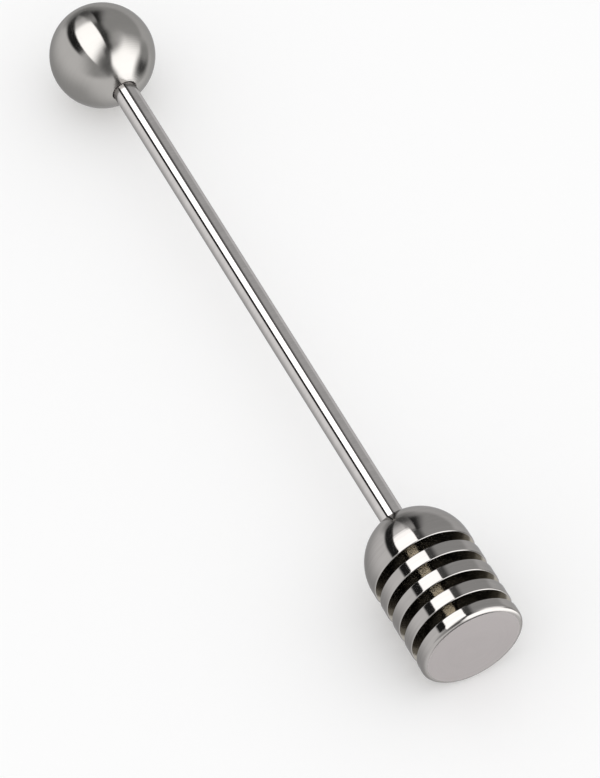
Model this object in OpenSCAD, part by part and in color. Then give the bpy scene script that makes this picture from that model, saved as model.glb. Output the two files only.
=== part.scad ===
// Honey dipper of bare steel, lying on its ball and its head.
// Its axis runs along X, with the ball at -X and the flat end of the head at +X.

/* [Overall] */
// Length from the back of the ball to the flat end of the head
overall_l = 160; // [120:1:220]

/* [Ball knob] */
// Diameter of the ball
ball_d = 20; // [14:0.5:30]
// Depth of the rod's end in the ball, from the nearest point of the ball
ball_seat_depth = 8; // [4:0.5:10]
// Chamfer round the mouth of the ball's bore
ball_mouth_chamfer = 0.2; // [0.05:0.05:0.5]

/* [Handle rod] */
// Diameter of the rod
rod_d = 4.6; // [3:0.1:7]
// Chamfer at both ends of the rod, inside the bores
rod_end_chamfer = 0.4; // [0.1:0.1:0.8]

/* [Dipper head] */
// Diameter of the rings, and of the dome above them
head_d = 20; // [16:0.5:30]
// Straight wall between the dome and the first groove
shoulder_l = 1.7; // [1:0.1:6]
// Number of grooves
groove_n = 4; // [2:1:8]
// Width of each groove along the axis
groove_w = 2; // [1:0.1:4]
// Diameter of the core that the rings share
core_d = 10; // [8:0.5:14]
// Thickness of each ring between two grooves
ring_t = 2.6; // [1.2:0.1:5]
// Thickness of the last ring, whose outer side is the flat end
end_ring_t = 2.5; // [2:0.1:6]
// Edge radius round the flat end
end_edge_r = 1; // [0.3:0.1:1.5]
// Edge radius along the rims of the grooves
rim_r = 0.25; // [0.1:0.05:0.45]
// Depth of the rod's end in the head, from the top of the dome
head_seat_depth = 9; // [4:0.5:12]
// Chamfer round the mouth of the head's bore
head_mouth_chamfer = 0.1; // [0.05:0.05:0.5]

/* [Fits] */
// Gap all round between the rod and its bores, filled by the joint
joint_gap = 0.01; // [0.01:0.01:0.1]
// Included angle of the drill point that ends both bores, in degrees
drill_point_angle = 118; // [90:1:140]

/* [Hidden] */
$fn = 160;
// How far a cutter runs past what it cuts
cut_past = 1;

ball_r = ball_d / 2;
rod_r = rod_d / 2;
head_r = head_d / 2;
core_r = core_d / 2;
bore_r = rod_r + joint_gap;
drill_point_h = bore_r / tan(drill_point_angle / 2);

pitch = groove_w + ring_t;
head_l = head_r + shoulder_l + groove_n * groove_w + (groove_n - 1) * ring_t + end_ring_t;
axis_z = max(ball_r, head_r);
ball_x = ball_r - overall_l / 2;
head_x = overall_l / 2 - head_l;
first_groove = head_r + shoulder_l;

rod_from_x = ball_x + ball_r - ball_seat_depth;
rod_to_x = head_x + head_seat_depth;

// Turns the children so that what they have along Z lies along the dipper's axis
module along_axis(x) {
    translate([x, 0, axis_z]) rotate([0, 90, 0]) children();
}

// A blind bore that runs up from its drill point to the top of a ball of radius surface_r.
// Its chamfer meets the ball at mouth_h, and the cutter runs on past the ball from there.
module seat_bore(depth, surface_r, chamfer) {
    mouth_r = bore_r + chamfer;
    mouth_h = depth - surface_r + sqrt(surface_r * surface_r - mouth_r * mouth_r);
    run_on = depth - mouth_h + cut_past;
    translate([0, 0, -drill_point_h]) cylinder(h = drill_point_h, r1 = 0, r2 = bore_r);
    cylinder(h = depth, r = bore_r);
    translate([0, 0, mouth_h - chamfer])
        cylinder(h = chamfer + run_on, r1 = bore_r, r2 = mouth_r + run_on);
}

// What a rounding of radius f takes off the outer corner of a turned profile, at its origin
module corner_waste(f) {
    difference() {
        translate([-f, -f]) square(2 * f);
        translate([-f, -f]) circle(f);
        translate([-2 * f, -f]) square([f, 2 * f]);
        translate([-f, -2 * f]) square([2 * f, f]);
    }
}

// Half section of a turned disc, from the height 0 to t, with its two outer edges rounded
module disc_section(t, edge_from_r, edge_to_r) {
    difference() {
        square([head_r, t]);
        translate([head_r, 0]) mirror([0, 1]) corner_waste(edge_from_r);
        translate([head_r, t]) corner_waste(edge_to_r);
    }
}

// Half section of the dome and the straight wall below it
module shoulder_section() {
    translate([0, head_r]) intersection() {
        circle(head_r);
        translate([0, -head_r]) square(head_r);
    }
    translate([0, head_r]) difference() {
        square([head_r, shoulder_l]);
        translate([head_r, shoulder_l]) corner_waste(rim_r);
    }
}

// Half section of the whole head, from the top of the dome up to the flat end
module head_section() {
    shoulder_section();
    translate([0, head_r]) square([core_r, head_l - head_r]);
    for (i = [1 : groove_n - 1])
        translate([0, first_groove + i * pitch - ring_t]) disc_section(ring_t, rim_r, rim_r);
    translate([0, head_l - end_ring_t]) disc_section(end_ring_t, rim_r, end_edge_r);
}

module ball_knob() {
    color([0.70, 0.68, 0.67])
        difference() {
            along_axis(ball_x) sphere(ball_r);
            along_axis(rod_from_x) seat_bore(ball_seat_depth, ball_r, ball_mouth_chamfer);
        }
}

module handle_rod() {
    color([0.76, 0.74, 0.73])
        along_axis(rod_from_x) {
            length = rod_to_x - rod_from_x;
            cylinder(h = rod_end_chamfer, r1 = rod_r - rod_end_chamfer, r2 = rod_r);
            translate([0, 0, rod_end_chamfer]) cylinder(h = length - 2 * rod_end_chamfer, r = rod_r);
            translate([0, 0, length - rod_end_chamfer])
                cylinder(h = rod_end_chamfer, r1 = rod_r, r2 = rod_r - rod_end_chamfer);
        }
}

module dipper_head() {
    color([0.68, 0.66, 0.65])
        difference() {
            along_axis(head_x) rotate_extrude() head_section();
            along_axis(rod_to_x) mirror([0, 0, 1]) seat_bore(head_seat_depth, head_r, head_mouth_chamfer);
        }
}

ball_knob();
handle_rod();
dipper_head();
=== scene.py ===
"""A honey dipper of bare steel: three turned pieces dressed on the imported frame, in a small pale studio.

Everything is in metres. The dipper's axis runs along X, with the ball at -X and the flat end at +X.
"""

import math
from collections import namedtuple

import bpy
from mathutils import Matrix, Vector


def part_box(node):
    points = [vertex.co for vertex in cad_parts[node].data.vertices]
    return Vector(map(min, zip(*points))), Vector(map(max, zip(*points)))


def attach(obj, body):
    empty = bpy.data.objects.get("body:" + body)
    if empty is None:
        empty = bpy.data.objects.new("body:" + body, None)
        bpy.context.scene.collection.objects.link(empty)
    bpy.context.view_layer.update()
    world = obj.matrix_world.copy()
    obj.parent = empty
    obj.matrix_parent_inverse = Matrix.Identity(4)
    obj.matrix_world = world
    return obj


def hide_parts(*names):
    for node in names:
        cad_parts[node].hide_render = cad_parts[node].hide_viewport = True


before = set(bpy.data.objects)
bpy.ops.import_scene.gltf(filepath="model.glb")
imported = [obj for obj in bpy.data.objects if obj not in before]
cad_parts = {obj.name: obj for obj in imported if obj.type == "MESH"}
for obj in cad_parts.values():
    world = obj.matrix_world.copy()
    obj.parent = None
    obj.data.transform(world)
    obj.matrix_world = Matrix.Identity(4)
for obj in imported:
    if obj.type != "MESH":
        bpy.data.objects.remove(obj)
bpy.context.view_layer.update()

MM = 0.001

# Sizes that the frame gives
BALL_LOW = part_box("ball_knob")[0]
ROD_LOW, ROD_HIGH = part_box("handle_rod")
HEAD_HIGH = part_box("dipper_head")[1]
AXIS_Z = HEAD_HIGH.z / 2
HEAD_R = HEAD_HIGH.z / 2
ROD_R = (ROD_HIGH.z - ROD_LOW.z) / 2
BALL_R = AXIS_Z
BALL_X = BALL_LOW.x + BALL_R
END_X = HEAD_HIGH.x

# The head's sizes, from its flat end back to its dome
END_RING = 2.5 * MM
RING = 2.6 * MM
GROOVE = 2.0 * MM
GROOVES = 4
SHOULDER = 1.7 * MM
CORE_R = 5.0 * MM
END_EDGE = 1.0 * MM
RIM_EDGE = 0.25 * MM
GROOVE_FILLET = 0.15 * MM
DOME_X = END_X - END_RING - GROOVES * GROOVE - (GROOVES - 1) * RING - SHOULDER

# The blind bores that hold the rod's two ends, and the chamfers at their mouths and at the rod's ends
BORE_GAP = 0.01 * MM
BORE_R = ROD_R + BORE_GAP
DRILL_ANGLE = math.radians(118)
DRILL_POINT = BORE_R / math.tan(DRILL_ANGLE / 2)
BALL_MOUTH = 0.2 * MM
HEAD_MOUTH = 0.1 * MM
MOUTH_EDGE = 0.04 * MM
ROD_CHAMFER = 0.4 * MM

# How finely the pieces are turned
AROUND = 192
AROUND_ROD = 96
ARC_STEP = math.radians(2.5)
EDGE_STEP = math.radians(11.25)
SHARP_ANGLE = math.radians(32)

# A run of the profile has a support point this far from each end, if it is long enough for them
SUPPORT = 0.03 * MM
SHORTEST_SUPPORTED = 6 * SUPPORT

# A point of the profile that is nearer to the axis than this lies on it
ON_AXIS = 1e-7

# The margin round a piece's UV map
UV_MARGIN = 0.004

# The slots of a turned piece's materials
SKIN, FACE, INSIDE = 0, 1, 2

# The steel's turned lines and bands: how many to a mm of the profile, how much they wander round the axis,
# and how fine their detail is. Then the marks of handling.
LINES = {"per_mm": 3.0, "wander": 0.7, "detail": 3.0}
BANDS = {"per_mm": 0.45, "wander": 0.5, "detail": 2.0}
NOISE_ROUGHNESS = 0.6
HANDLING = {"Scale": 160.0, "Detail": 4.0}

# The part of the mottling that goes from the dull to the bright colour
TONE_LOW, TONE_HIGH = 0.3, 0.7

# How much the lines and the handling each add to the roughness at most
UNEVEN = 0.04

# The steel's tint where it is seen at a shallow angle, and the quarter turn of its shine against the lines
GRAZING_TINT = (0.75, 0.75, 0.75, 1.0)
QUARTER_TURN = 0.25

# How bright the mirrored studio is as a whole, then its softboxes and its lamp before that
STEEL_LIGHT = 0.83
SOFTBOX = 2.2
LAMP = 4.5

# The share of the studio's light that is left for a ray that is mirrored a second time
SECOND_TIME = 0.6

# The even light on the floor, and the backdrop that the camera sees
FLOOR_LIGHT = 1.03
BACKDROP = 0.98

# The mirrored room's brightness: its walls from +Y to -Y, its ground from under the dipper to far off, the
# ground at +Y, and the ground ahead of the flat end
WALLS_GREY, WALLS_PALE = 0.45, 0.88
GROUND_UNDER, GROUND_FAR = 0.5, 0.86
GROUND_ASIDE = 0.67
GROUND_AHEAD = 0.9

# What the steel mirrors has soft straight edges. Each is the axis of the half of the sky that it leaves
# over, and where along that axis the edge starts and ends.
ABOVE = ((0, 0, 1), 0.0, 0.02)
OVERHEAD_SIDES = [
    ABOVE,
    ((0, -1, 0.01), -0.015, 0.015),
    ((0.045, 1, 1.0), -0.012, 0.012),
]
OVERHEAD_ENDS = [
    ((1, -0.45, 1.06), -0.03, 0.03),
    ((-1, -0.75, 0.22), -0.2, 0.2),
]
OVERHEAD_DIM_ENDS = [
    ((1, -0.45, 1.9), -0.3, 0.3),
    ((-1, -0.75, 0.22), -0.2, 0.2),
]
DIM_WEDGE_EDGES = [
    ABOVE,
    ((0, 1, 0.1), -0.01, 0.01),
    ((-0.2, -1, 0.03), -0.03, 0.03),
    ((-1, 0, -0.8), -0.07, 0.07),
    ((1, -0.45, 1.9), -0.3, 0.3),
]
LEFT_GAP_EDGES = [
    ((0, 0, 1), 0.1, 0.35),
    ((0.2, 1, -0.02), -0.025, 0.025),
    ((-0.49, -1, -0.01), -0.14, 0.14),
    ((-1, 0, -0.7), -0.04, 0.04),
]
RIGHT_GAP_EDGES = [
    ABOVE,
    ((0.27, 1, -0.02), -0.025, 0.025),
    ((-0.27, -1, 0.27), -0.14, 0.14),
    ((1, 0, 0.2), -0.1, 0.1),
]
NEAR_GAP_EDGES = [
    ABOVE,
    ((0, 1, 0.05), -0.01, 0.01),
    ((-0.17, -1, 0.2), -0.1, 0.1),
    ((-1, 0, 0.4), -0.15, 0.15),
]
FLAG_EDGES = [
    ABOVE,
    ((-0.05, -1, -0.95), -0.01, 0.01),
    ((-0.25, 1, 1.65), -0.045, 0.045),
    ((-1, 0, 0.1), -0.15, 0.15),
]
SIDE_EDGES = [
    ((-0.1, 0.94, 0.32), -0.11, 0.12),
    ((0.17, 0.95, -0.25), -0.06, 0.06),
    ((1, 0, 0), -0.08, 0.7),
    ((0, 0, 1), -0.7, -0.5),
    ((0, 0, -1), -0.86, -0.64),
]
LAMP_EDGES = [
    ABOVE,
    ((0, 1, 0.97), -0.012, 0.012),
    ((0, -1, -0.05), -0.015, 0.015),
    ((1, 0, 0.75), -0.05, 0.05),
    ((-1, 0, 0.2), -0.08, 0.08),
]

# The near part of the side softbox, in mm: its rows from the foot up, each with its Y and how much of it
# shows, a point of its slope, how much it rises for each mm of Y, and its two sides, the first one slanting
CARD_ROWS = ((16.5, 0.0), (20.5, 1.0), (34, 1.0), (50, 0.0))
CARD_Y, CARD_Z = 15, 2
CARD_RISE = 1.05
CARD_LOW_X, CARD_SLANT = 60.5, 1.05
CARD_HIGH_X = 120

# The floor
FLOOR_SIDE = 4.0
FLOOR_COLOUR = (0.95, 0.95, 0.95, 1.0)
FLOOR_ROUGHNESS = 0.9

# The camera: the point that it aims at, where it stands as seen from there, in degrees, how far off, and
# its lens
CAMERA_AIM = Vector((16.56, -1.91, 10.0)) * MM
CAMERA_AZIMUTH, CAMERA_ELEVATION = -26.732, 53.529
CAMERA_DISTANCE = 0.9932
SENSOR_WIDTH = 36.0
LENS = 255.34
CLIP_START, CLIP_END = 0.01, 50.0

GLOSSY_BOUNCES = 8

# A corner of a piece's profile: its place along the axis and away from it, the radius of its rounding, and
# the slot of the material from there to the next corner
Corner = namedtuple("Corner", "x radius rounding finish")

# A point of the finished profile: edge is how much it lies on a rounded edge
Station = namedtuple("Station", "x radius edge finish")


def dome_corners(centre_x, radius, start, stop, finish):
    """Corners along an arc about a point of the axis, from the angle start to stop."""
    steps = max(2, round(abs(stop - start) / ARC_STEP))
    angles = [start + (stop - start) * i / steps for i in range(steps + 1)]
    return [
        Corner(centre_x + radius * math.cos(a), max(0.0, radius * math.sin(a)), 0.0, finish)
        for a in angles
    ]


def rounded(before, corner, after):
    """Points of the arc that rounds a corner, each with the share of the turn made so far."""
    here = Vector((corner.x, corner.radius))
    back = (Vector((before.x, before.radius)) - here).normalized()
    ahead = (Vector((after.x, after.radius)) - here).normalized()
    opening = back.angle(ahead)
    turn = math.pi - opening
    reach = corner.rounding / math.tan(opening / 2)
    centre = here + (back + ahead).normalized() * corner.rounding / math.sin(opening / 2)
    first = here + back * reach - centre
    last = here + ahead * reach - centre
    steps = max(2, math.ceil(turn / EDGE_STEP))
    points = []
    for i in range(steps + 1):
        share = i / steps
        spoke = (first * math.sin((1 - share) * turn) + last * math.sin(share * turn)) / math.sin(turn)
        points.append((centre + spoke, share))
    return points


def stations(corners):
    """The profile through the corners, with their roundings and with support points beside them."""
    found = []
    for i, corner in enumerate(corners):
        if not corner.rounding:
            found.append(Station(corner.x, corner.radius, 0.0, corner.finish))
            continue
        arc_finish = min(corners[i - 1].finish, corner.finish)
        arc = rounded(corners[i - 1], corner, corners[i + 1])
        for place, share in arc:
            finish = corner.finish if share == 1 else arc_finish
            found.append(Station(place.x, place.y, math.sin(share * math.pi), finish))
    supported = [found[0]]
    for a, b in zip(found, found[1:]):
        run = math.hypot(b.x - a.x, b.radius - a.radius)
        if run > SHORTEST_SUPPORTED:
            for t in (SUPPORT / run, 1 - SUPPORT / run):
                x = a.x + (b.x - a.x) * t
                radius = a.radius + (b.radius - a.radius) * t
                supported.append(Station(x, radius, 0.0, a.finish))
        supported.append(b)
    return supported


def lathe(name, corners, around, materials):
    """Turns a profile about the dipper's axis.

    For the materials to read, the mesh keeps how far along the profile each point lies, in mm, and how much
    it is on a rounded edge.
    """
    profile = stations(corners)
    along = [0.0]
    for a, b in zip(profile, profile[1:]):
        along.append(along[-1] + math.hypot(b.x - a.x, b.radius - a.radius))
    verts, faces, rings = [], [], []
    far, edge, finishes, uvs = [], [], [], []
    for station, distance in zip(profile, along):
        on_axis = station.radius < ON_AXIS
        ring = []
        for i in range(1 if on_axis else around):
            a = 2 * math.pi * i / around
            ring.append(len(verts))
            y = station.radius * math.cos(a)
            z = AXIS_Z + station.radius * math.sin(a)
            verts.append((station.x, y, z))
            far.append(distance / MM)
            edge.append(station.edge)
        rings.append(ring)
    for k, (low, high) in enumerate(zip(rings, rings[1:])):
        v0, v1 = (along[j] / along[-1] for j in (k, k + 1))
        for i in range(around):
            j = (i + 1) % around
            u0, u1 = i / around, (i + 1) / around
            if len(low) == 1:
                faces.append((low[0], high[j], high[i]))
                uvs += [((u0 + u1) / 2, v0), (u1, v1), (u0, v1)]
            elif len(high) == 1:
                faces.append((low[i], low[j], high[0]))
                uvs += [(u0, v0), (u1, v0), ((u0 + u1) / 2, v1)]
            else:
                faces.append((low[i], low[j], high[j], high[i]))
                uvs += [(u0, v0), (u1, v0), (u1, v1), (u0, v1)]
            finishes.append(profile[k].finish)
    mesh = bpy.data.meshes.new(name)
    mesh.from_pydata(verts, [], faces)
    for material in materials:
        mesh.materials.append(material)
    mesh.polygons.foreach_set("material_index", finishes)
    for title, values in (("along", far), ("edge", edge)):
        mesh.attributes.new(title, "FLOAT", "POINT").data.foreach_set("value", values)
    layer = mesh.uv_layers.new(name="OFBake")
    inset = [UV_MARGIN + (1 - 2 * UV_MARGIN) * value for uv in uvs for value in uv]
    layer.uv.foreach_set("vector", inset)
    mesh.shade_smooth()
    mesh.set_sharp_from_angle(angle=SHARP_ANGLE)
    mesh.validate()
    piece = bpy.data.objects.new(name, mesh)
    bpy.context.scene.collection.objects.link(piece)
    return piece


def add(tree, kind, inputs=(), **settings):
    """A new node, with its settings and its inputs, each a socket or a plain value."""
    made = tree.nodes.new("ShaderNode" + kind)
    for name, value in settings.items():
        setattr(made, name, value)
    for socket, value in dict(inputs).items():
        if isinstance(value, bpy.types.NodeSocket):
            tree.links.new(value, made.inputs[socket])
        else:
            made.inputs[socket].default_value = value
    return made


def maths(tree, operation, a, b):
    return add(tree, "Math", {0: a, 1: b}, operation=operation).outputs[0]


def vectors(tree, operation, a, b):
    return add(tree, "VectorMath", {0: a, 1: b}, operation=operation).outputs[0]


def ramp(tree, value, low, high, to_low=0.0, to_high=1.0):
    """A smooth step of value from low to high."""
    inputs = {"Value": value, 1: low, 2: high, 3: to_low, 4: to_high}
    return add(tree, "MapRange", inputs, interpolation_type="SMOOTHSTEP").outputs[0]


def blend(tree, mask, under, over):
    """A value that goes from under to over as the mask goes from 0 to 1."""
    return add(tree, "Mix", {0: mask, 2: under, 3: over}).outputs[0]


def blend_colours(tree, mask, under, over):
    """A colour that goes from under to over as the mask goes from 0 to 1."""
    return add(tree, "Mix", {0: mask, 6: under, 7: over}, data_type="RGBA").outputs[2]


def new_material(name):
    material = bpy.data.materials.new(name)
    material.use_nodes = True
    tree = material.node_tree
    tree.nodes.clear()
    shader = add(tree, "BsdfPrincipled")
    output = add(tree, "OutputMaterial")
    tree.links.new(shader.outputs[0], output.inputs["Surface"])
    return material, tree, shader


def turned_noise(tree, per_mm, wander, detail):
    """Noise in lines that run round the axis: fine along the profile, and slow around it."""
    along = add(tree, "Attribute", attribute_name="along").outputs["Fac"]
    place = add(tree, "TexCoord").outputs["Object"]
    spoke = vectors(tree, "ADD", place, (0, 0, -AXIS_Z))
    flat = vectors(tree, "MULTIPLY", spoke, (0, 1, 1))
    unit = add(tree, "VectorMath", {0: flat}, operation="NORMALIZE").outputs[0]
    slow = add(tree, "VectorMath", {0: unit, "Scale": wander}, operation="SCALE").outputs[0]
    fine = add(tree, "CombineXYZ", {"X": maths(tree, "MULTIPLY", along, per_mm)}).outputs[0]
    where = vectors(tree, "ADD", slow, fine)
    inputs = {"Vector": where, "Scale": 1.0, "Detail": detail, "Roughness": NOISE_ROUGHNESS}
    return add(tree, "TexNoise", inputs).outputs["Fac"]


def steel(name, colour, roughness, anisotropy, line_height, rim_highlight_lift=0.0, contrast=0.05):
    """Turned steel: fine lines round the axis, patches of uneven polish, and rims whose colour can be
    lifted as a painted highlight.
    """
    material, tree, shader = new_material(name)
    lines = turned_noise(tree, **LINES)
    bands = turned_noise(tree, **BANDS)
    place = add(tree, "TexCoord").outputs["Object"]
    handling = add(tree, "TexNoise", {"Vector": place, **HANDLING}).outputs["Fac"]
    edge = add(tree, "Attribute", attribute_name="edge").outputs["Fac"]

    dull = [c * (1 - contrast) for c in colour] + [1.0]
    bright = [c * (1 + contrast) for c in colour] + [1.0]
    # The rounded rims can take a brighter colour than the rest: a painted highlight along the rims.
    rim_highlight_colour = [min(1.0, c * (1 + rim_highlight_lift)) for c in colour] + [1.0]
    half_lines = maths(tree, "MULTIPLY", lines, 0.5)
    half_bands = maths(tree, "MULTIPLY", bands, 0.5)
    tone = ramp(tree, maths(tree, "ADD", half_lines, half_bands), TONE_LOW, TONE_HIGH)
    plain = blend_colours(tree, tone, dull, bright)
    tree.links.new(blend_colours(tree, edge, plain, rim_highlight_colour), shader.inputs["Base Color"])

    by_lines = maths(tree, "MULTIPLY", lines, UNEVEN)
    by_handling = maths(tree, "MULTIPLY", handling, UNEVEN)
    uneven = maths(tree, "ADD", by_lines, by_handling)
    rough = maths(tree, "ADD", uneven, roughness - UNEVEN)
    tree.links.new(rough, shader.inputs["Roughness"])

    bump = add(tree, "Bump", {"Height": lines, "Strength": 1.0, "Distance": line_height})
    tree.links.new(bump.outputs[0], shader.inputs["Normal"])

    round_axis = add(tree, "Tangent", direction_type="RADIAL", axis="X")
    tree.links.new(round_axis.outputs[0], shader.inputs["Tangent"])
    shader.inputs["Metallic"].default_value = 1.0
    shader.inputs["Specular Tint"].default_value = GRAZING_TINT
    shader.inputs["Anisotropic"].default_value = anisotropy
    shader.inputs["Anisotropic Rotation"].default_value = QUARTER_TURN
    return material


def ball_piece(materials):
    mouth = BORE_R + BALL_MOUTH
    mouth_angle = math.asin(mouth / BALL_R)
    mouth_x = BALL_X + BALL_R * math.cos(mouth_angle)
    corners = dome_corners(BALL_X, BALL_R, math.pi, mouth_angle, SKIN)[:-1]
    corners += [
        Corner(mouth_x, mouth, MOUTH_EDGE, FACE),
        Corner(mouth_x - BALL_MOUTH, BORE_R, MOUTH_EDGE, INSIDE),
        Corner(ROD_LOW.x, BORE_R, 0.0, INSIDE),
        Corner(ROD_LOW.x - DRILL_POINT, 0.0, 0.0, INSIDE),
    ]
    return lathe("ball_knob_steel", corners, AROUND, materials)


def rod_piece(materials):
    tip = ROD_R - ROD_CHAMFER
    corners = [
        Corner(ROD_LOW.x, 0.0, 0.0, SKIN),
        Corner(ROD_LOW.x, tip, 0.0, SKIN),
        Corner(ROD_LOW.x + ROD_CHAMFER, ROD_R, 0.0, SKIN),
        Corner(ROD_HIGH.x - ROD_CHAMFER, ROD_R, 0.0, SKIN),
        Corner(ROD_HIGH.x, tip, 0.0, SKIN),
        Corner(ROD_HIGH.x, 0.0, 0.0, SKIN),
    ]
    return lathe("handle_rod_steel", corners, AROUND_ROD, materials)


def head_piece(materials):
    mouth = BORE_R + HEAD_MOUTH
    mouth_angle = math.pi - math.asin(mouth / HEAD_R)
    mouth_x = DOME_X + HEAD_R * math.cos(mouth_angle)
    corners = [
        Corner(ROD_HIGH.x + DRILL_POINT, 0.0, 0.0, INSIDE),
        Corner(ROD_HIGH.x, BORE_R, 0.0, INSIDE),
        Corner(mouth_x + HEAD_MOUTH, BORE_R, MOUTH_EDGE / 2, INSIDE),
        Corner(mouth_x, mouth, MOUTH_EDGE / 2, SKIN),
    ]
    corners += dome_corners(DOME_X, HEAD_R, mouth_angle, math.pi / 2, SKIN)[1:]
    x = DOME_X + SHOULDER
    for _ in range(GROOVES):
        corners += [
            Corner(x, HEAD_R, RIM_EDGE, INSIDE),
            Corner(x, CORE_R, GROOVE_FILLET, INSIDE),
            Corner(x + GROOVE, CORE_R, GROOVE_FILLET, INSIDE),
            Corner(x + GROOVE, HEAD_R, RIM_EDGE, SKIN),
        ]
        x += GROOVE + RING
    corners += [
        Corner(END_X, HEAD_R, END_EDGE, FACE),
        Corner(END_X, 0.0, 0.0, FACE),
    ]
    return lathe("dipper_head_steel", corners, AROUND, materials)


def dress(piece, node):
    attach(piece, "root")
    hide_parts(node)


def heading(azimuth, elevation):
    """The direction at an azimuth from +X towards +Y and an elevation above the floor, in degrees."""
    a, e = math.radians(azimuth), math.radians(elevation)
    return Vector((math.cos(a) * math.cos(e), math.sin(a) * math.cos(e), math.sin(e)))


def component(tree, direction, axis):
    """How far a direction points along an axis."""
    inputs = {0: direction, 1: Vector(axis).normalized()}
    return add(tree, "VectorMath", inputs, operation="DOT_PRODUCT").outputs["Value"]


def spot(tree, direction, centre, inner, outer):
    """A round soft patch about a direction: 1 within the angle inner and 0 beyond outer, in degrees."""
    off_axis = component(tree, direction, centre)
    return ramp(tree, off_axis, math.cos(math.radians(outer)), math.cos(math.radians(inner)))


def within(tree, direction, edges):
    """The part of the sky that all the edges leave over."""
    mask = 1.0
    for axis, start, end in edges:
        mask = maths(tree, "MULTIPLY", mask, ramp(tree, component(tree, direction, axis), start, end))
    return mask


def room(tree, direction):
    """The walls and the floor that the steel mirrors: pale at -Y, grey at +Y, darker under the dipper."""
    aside, height = component(tree, direction, (0, 1, 0)), component(tree, direction, (0, 0, 1))
    towards_pale = component(tree, direction, (-0.42, -0.9, -0.1))
    walls = ramp(tree, towards_pale, 0.2, 0.8, WALLS_GREY, WALLS_PALE)
    ground = ramp(tree, height, -0.8, 0.0, GROUND_UNDER, GROUND_FAR)
    ground = blend(tree, ramp(tree, aside, -0.3, 0.3), ground, GROUND_ASIDE)
    ahead = component(tree, direction, (0.93, 0.25, -0.25))
    ground = blend(tree, ramp(tree, ahead, 0.2, 0.9), ground, GROUND_AHEAD)
    return blend(tree, ramp(tree, height, -0.12, 0.12), ground, walls)


def mirrored_studio(tree, direction, mirrored_times):
    """What the steel mirrors: the room, two softboxes, and the dark flag and gaps beside them.

    Each further time that a ray is mirrored, as between the walls of a groove, the room looks dimmer to it.
    From the third time on, it also sees a small bright lamp.
    """
    # Each layer's label, the part of the sky that it covers, and its brightness there
    layers = (
        ("back corner", spot(tree, direction, heading(178, 4), 8, 26), 0.32),
        ("pale corner", spot(tree, direction, heading(72, 52), 5, 20), 0.62),
        ("dark end of the gap, to the right", spot(tree, direction, heading(4, 63), 3, 15), 0.05),
        ("dark gap, near the overhead softbox", within(tree, direction, NEAR_GAP_EDGES), 0.1),
        ("dark gap, to the right", within(tree, direction, RIGHT_GAP_EDGES), 0.05),
        ("dark gap, to the left", within(tree, direction, LEFT_GAP_EDGES), 0.03),
        ("dark sector", spot(tree, direction, heading(-6, 30), 8, 30), 0.18),
        ("overhead softbox, dim end", within(tree, direction, OVERHEAD_SIDES + OVERHEAD_DIM_ENDS), 0.95),
        ("overhead softbox, dim wedge", within(tree, direction, DIM_WEDGE_EDGES), 0.5),
        ("dark flag", within(tree, direction, FLAG_EDGES), 0.02),
        ("overhead softbox", within(tree, direction, OVERHEAD_SIDES + OVERHEAD_ENDS), SOFTBOX),
        ("side softbox", within(tree, direction, SIDE_EDGES), SOFTBOX),
        ("dark foot", spot(tree, direction, heading(17, -36), 8, 17), 0.05),
        ("dark corner", spot(tree, direction, heading(60, -20), 3, 29), 0.08),
        ("edge of the side softbox", spot(tree, direction, heading(79, -10), 5, 19), 0.42),
    )
    light = room(tree, direction)
    for label, mask, brightness in layers:
        light = blend(tree, mask, light, brightness)
        light.node.label = label

    again = maths(tree, "SUBTRACT", mirrored_times, 1.0)
    dimming = maths(tree, "POWER", SECOND_TIME, maths(tree, "MULTIPLY", again, again))
    light = maths(tree, "MULTIPLY", light, dimming)
    third = maths(tree, "GREATER_THAN", again, 1.5)
    lamp = maths(tree, "MULTIPLY", within(tree, direction, LAMP_EDGES), third)
    return blend(tree, lamp, light, LAMP)


def studio():
    """The world's light.

    The steel mirrors the softboxes and the room, the floor takes a plain even light, and the camera sees a
    pale backdrop.
    """
    world = bpy.data.worlds.new("studio")
    bpy.context.scene.world = world
    world.use_nodes = True
    world.cycles.sampling_method = "NONE"
    tree = world.node_tree
    tree.nodes.clear()
    direction = add(tree, "TexCoord").outputs["Generated"]
    path = add(tree, "LightPath")
    steel_light = mirrored_studio(tree, direction, path.outputs["Glossy Depth"])
    steel_light = maths(tree, "MULTIPLY", steel_light, STEEL_LIGHT)
    white = (1.0, 1.0, 1.0, 1.0)
    mirrored = add(tree, "Background", {"Color": white, "Strength": steel_light}).outputs[0]
    even = add(tree, "Background", {"Color": white, "Strength": FLOOR_LIGHT}).outputs[0]
    backdrop = add(tree, "Background", {"Color": white, "Strength": BACKDROP}).outputs[0]
    on_floor = maths(tree, "GREATER_THAN", path.outputs["Diffuse Depth"], 0.5)
    lit = add(tree, "MixShader", {0: on_floor, 1: mirrored, 2: even}).outputs[0]
    seen = add(tree, "MixShader", {0: path.outputs["Is Camera Ray"], 1: lit, 2: backdrop}).outputs[0]
    add(tree, "OutputWorld", {"Surface": seen})


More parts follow.
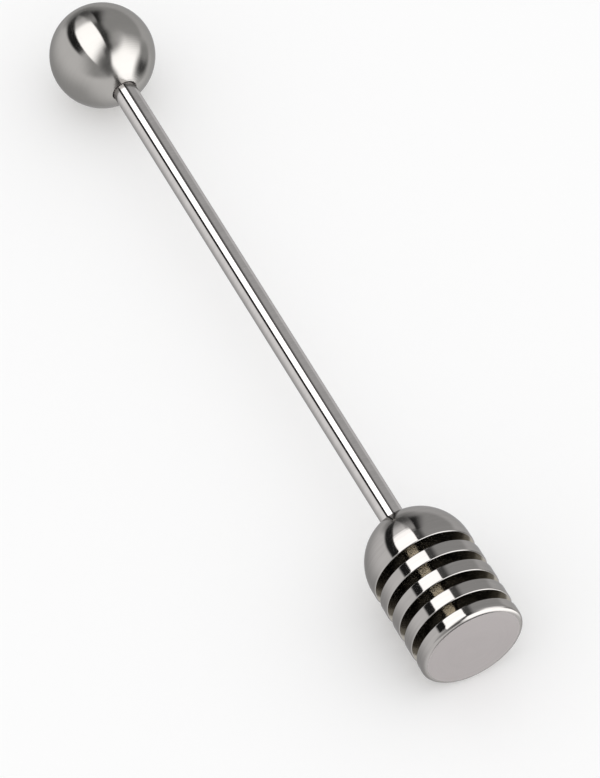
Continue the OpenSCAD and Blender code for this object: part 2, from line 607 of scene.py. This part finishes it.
def near_softbox():
    """The part of the side softbox that stands close beside the end of the head, sloping away from it.

    Only steel that mirrors it straight sees it, and not steel that mirrors it by way of other steel.
    """
    material = bpy.data.materials.new("near_softbox")
    material.use_nodes = True
    material.cycles.emission_sampling = "NONE"
    tree = material.node_tree
    tree.nodes.clear()
    shown = add(tree, "Attribute", attribute_name="shown").outputs["Fac"]
    straight = maths(tree, "LESS_THAN", add(tree, "LightPath").outputs["Glossy Depth"], 1.5)
    mask = maths(tree, "MULTIPLY", shown, straight)
    clear = add(tree, "BsdfTransparent").outputs[0]
    glow = add(tree, "Emission", {"Strength": SOFTBOX * STEEL_LIGHT}).outputs[0]
    mixed = add(tree, "MixShader", {0: mask, 1: clear, 2: glow}).outputs[0]
    add(tree, "OutputMaterial", {"Surface": mixed})

    verts, shares = [], []
    for y, share in CARD_ROWS:
        z = CARD_Z + CARD_RISE * (y - CARD_Y)
        low_x = CARD_LOW_X + CARD_SLANT * y
        verts += [(low_x * MM, y * MM, z * MM), (CARD_HIGH_X * MM, y * MM, z * MM)]
        shares += [share, share]
    mesh = bpy.data.meshes.new("near_softbox")
    mesh.from_pydata(verts, [], [(k, k + 1, k + 3, k + 2) for k in range(0, len(verts) - 2, 2)])
    mesh.attributes.new("shown", "FLOAT", "POINT").data.foreach_set("value", shares)
    mesh.materials.append(material)
    card = bpy.data.objects.new("near_softbox", mesh)
    card.visible_camera = False
    card.visible_diffuse = False
    card.visible_shadow = False
    card.visible_transmission = False
    bpy.context.scene.collection.objects.link(card)


def floor():
    """A plain pale floor under the dipper. The steel mirrors the room's own floor instead."""
    material, _, shader = new_material("pale_floor")
    shader.inputs["Base Color"].default_value = FLOOR_COLOUR
    shader.inputs["Roughness"].default_value = FLOOR_ROUGHNESS
    shader.inputs["Specular IOR Level"].default_value = 0.0
    side = FLOOR_SIDE
    verts = [(-side, -side, 0), (side, -side, 0), (side, side, 0), (-side, side, 0)]
    mesh = bpy.data.meshes.new("floor")
    mesh.from_pydata(verts, [], [(0, 1, 2, 3)])
    mesh.materials.append(material)
    ground = bpy.data.objects.new("floor", mesh)
    ground.visible_glossy = False
    bpy.context.scene.collection.objects.link(ground)


def camera():
    """The camera stands where the photograph was taken from: far off, with a long lens and no roll."""
    away = heading(CAMERA_AZIMUTH, CAMERA_ELEVATION)
    lens = bpy.data.cameras.new("camera")
    lens.sensor_width = SENSOR_WIDTH
    lens.lens = LENS
    lens.clip_start = CLIP_START
    lens.clip_end = CLIP_END
    eye = bpy.data.objects.new("camera", lens)
    eye.location = CAMERA_AIM + away * CAMERA_DISTANCE
    eye.rotation_euler = (-away).to_track_quat("-Z", "Y").to_euler()
    bpy.context.scene.collection.objects.link(eye)
    bpy.context.scene.camera = eye


camera()
studio()
near_softbox()
floor()

satin = steel(
    "satin_ball_steel", (0.563, 0.545, 0.522),
    roughness=0.13, anisotropy=0.9, line_height=0.25e-6, contrast=0.02,
)
polished = steel(
    "polished_rod_steel", (0.81, 0.78, 0.765),
    roughness=0.09, anisotropy=0.9, line_height=0.7e-6,
)
# The head's rims take a painted highlight in their colour.
brushed = steel(
    "brushed_head_steel", (0.568, 0.545, 0.528),
    roughness=0.1, anisotropy=0.85, line_height=1.5e-6, rim_highlight_lift=0.1,
)
matt = steel(
    "matt_end_steel", (0.711, 0.667, 0.661),
    roughness=0.5, anisotropy=0.0, line_height=0.5e-6, contrast=0.02,
)
# The grooves and bores take a darker, warmer steel than the rest: painted shade in the hollows.
shaded = steel(
    "groove_steel", (0.55, 0.515, 0.455),
    roughness=0.15, anisotropy=0.9, line_height=1.0e-6,
)

dress(ball_piece([satin, matt, shaded]), "ball_knob")
dress(rod_piece([polished, matt, shaded]), "handle_rod")
dress(head_piece([brushed, matt, shaded]), "dipper_head")

bpy.context.scene.cycles.glossy_bounces = GLOSSY_BOUNCES
bpy.context.scene.view_settings.view_transform = "Standard"
